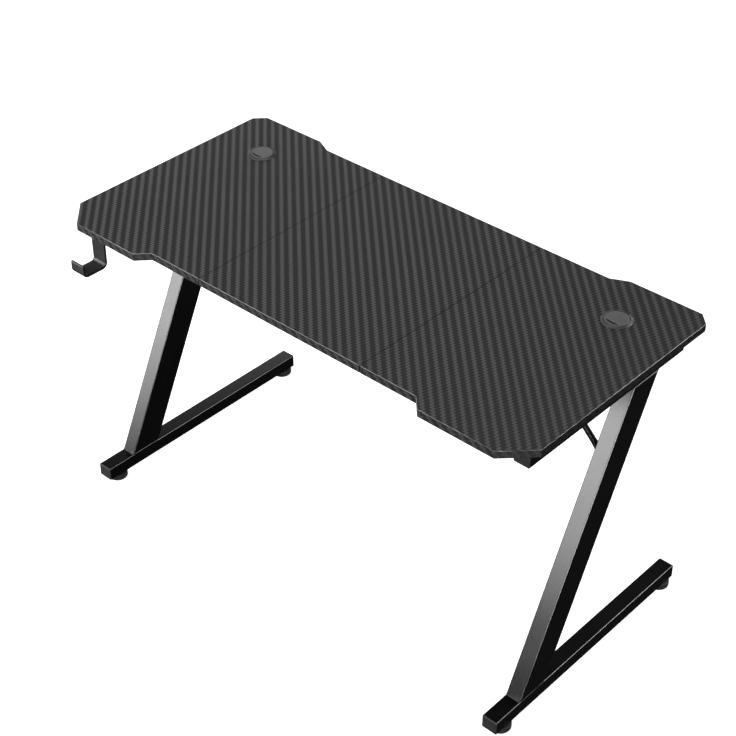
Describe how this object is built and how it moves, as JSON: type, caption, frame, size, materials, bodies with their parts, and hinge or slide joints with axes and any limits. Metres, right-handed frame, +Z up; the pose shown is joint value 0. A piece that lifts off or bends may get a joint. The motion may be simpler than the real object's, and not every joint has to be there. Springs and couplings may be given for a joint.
{
  "type": "desk",
  "caption": "Straight desk with a panelled, corner-cut tabletop on slanted Z-shaped steel legs, with turning cable grommet caps, levelling feet and a headset hook.",
  "frame": {"origin": "on the floor, under the middle of the whole desk: the centre of the underside of its bounding box", "axes": "+X to the right along the desk for a person sitting at it, +Y away from that person to the rear, +Z up"},
  "size_m": [1.24, 0.626, 0.729],
  "materials": {
    "laminate_board": "particle board in a black carbon-twill laminate, satin",
    "powder_coat": "black powder coat, semi-gloss",
    "cap_plastic": "moulded, fine grain",
    "pad_rubber": "moulded, matt",
    "grommet_plastic": "moulded, satin",
    "hook_plastic": "moulded, satin",
    "zinc_steel": "zinc plated",
    "beech": "plain"
  },
  "bodies": {
    "desk_frame": {"top_panel_left": "laminate_board", "top_panel_middle": "laminate_board", "top_panel_right": "laminate_board", "panel_dowels": "beech", "joint_plate_front_left": "powder_coat", "joint_plate_front_right": "powder_coat", "joint_plate_rear_left": "powder_coat", "joint_plate_rear_right": "powder_coat", "joint_plate_screws": "zinc_steel", "foot_tube_left": "powder_coat", "foot_tube_right": "powder_coat", "slant_tube_left": "powder_coat", "slant_tube_right": "powder_coat", "top_tube_left": "powder_coat", "top_tube_right": "powder_coat", "foot_cap_front_left": "cap_plastic", "foot_cap_front_right": "cap_plastic", "foot_cap_rear_left": "cap_plastic", "foot_cap_rear_right": "cap_plastic", "top_cap_front_left": "cap_plastic", "top_cap_front_right": "cap_plastic", "top_cap_rear_left": "cap_plastic", "top_cap_rear_right": "cap_plastic", "foot_bushes": "zinc_steel", "front_beam": "powder_coat", "rear_beam": "powder_coat", "bracket_front_left": "powder_coat", "bracket_front_right": "powder_coat", "bracket_rear_left": "powder_coat", "bracket_rear_right": "powder_coat", "brace_left": "powder_coat", "brace_right": "powder_coat", "frame_bolts": "zinc_steel", "brace_bolts": "zinc_steel", "weld_nuts": "zinc_steel", "tube_panel_screws": "zinc_steel", "beam_panel_screws": "zinc_steel", "grommet_liner_left": "grommet_plastic", "grommet_liner_right": "grommet_plastic", "headset_hook": "hook_plastic", "hook_screws": "zinc_steel"},
    "grommet_cap_left": {"grommet_cap_left": "grommet_plastic"},
    "levelling_foot_front_left": {"pad_front_left": "pad_rubber", "stem_front_left": "zinc_steel"},
    "levelling_foot_rear_left": {"pad_rear_left": "pad_rubber", "stem_rear_left": "zinc_steel"},
    "grommet_cap_right": {"grommet_cap_right": "grommet_plastic"},
    "levelling_foot_front_right": {"pad_front_right": "pad_rubber", "stem_front_right": "zinc_steel"},
    "levelling_foot_rear_right": {"pad_rear_right": "pad_rubber", "stem_rear_right": "zinc_steel"}
  },
  "joints": [
    {"name": "grommet_cap_left_turn", "type": "hinge", "parent": "desk_frame", "child": "grommet_cap_left", "pos_m": [-0.4845, 0.158, 0.727], "axis": [0, 0, 1], "continuous": true},
    {"name": "levelling_foot_front_left_screw", "type": "slide", "parent": "desk_frame", "child": "levelling_foot_front_left", "axis": [0, 0, -1], "range_m": [0, 0.012]},
    {"name": "levelling_foot_rear_left_screw", "type": "slide", "parent": "desk_frame", "child": "levelling_foot_rear_left", "axis": [0, 0, -1], "range_m": [0, 0.012]},
    {"name": "grommet_cap_right_turn", "type": "hinge", "parent": "desk_frame", "child": "grommet_cap_right", "pos_m": [0.4845, 0.158, 0.727], "axis": [0, 0, 1], "continuous": true},
    {"name": "levelling_foot_front_right_screw", "type": "slide", "parent": "desk_frame", "child": "levelling_foot_front_right", "axis": [0, 0, -1], "range_m": [0, 0.012]},
    {"name": "levelling_foot_rear_right_screw", "type": "slide", "parent": "desk_frame", "child": "levelling_foot_rear_right", "axis": [0, 0, -1], "range_m": [0, 0.012]}
  ]
}
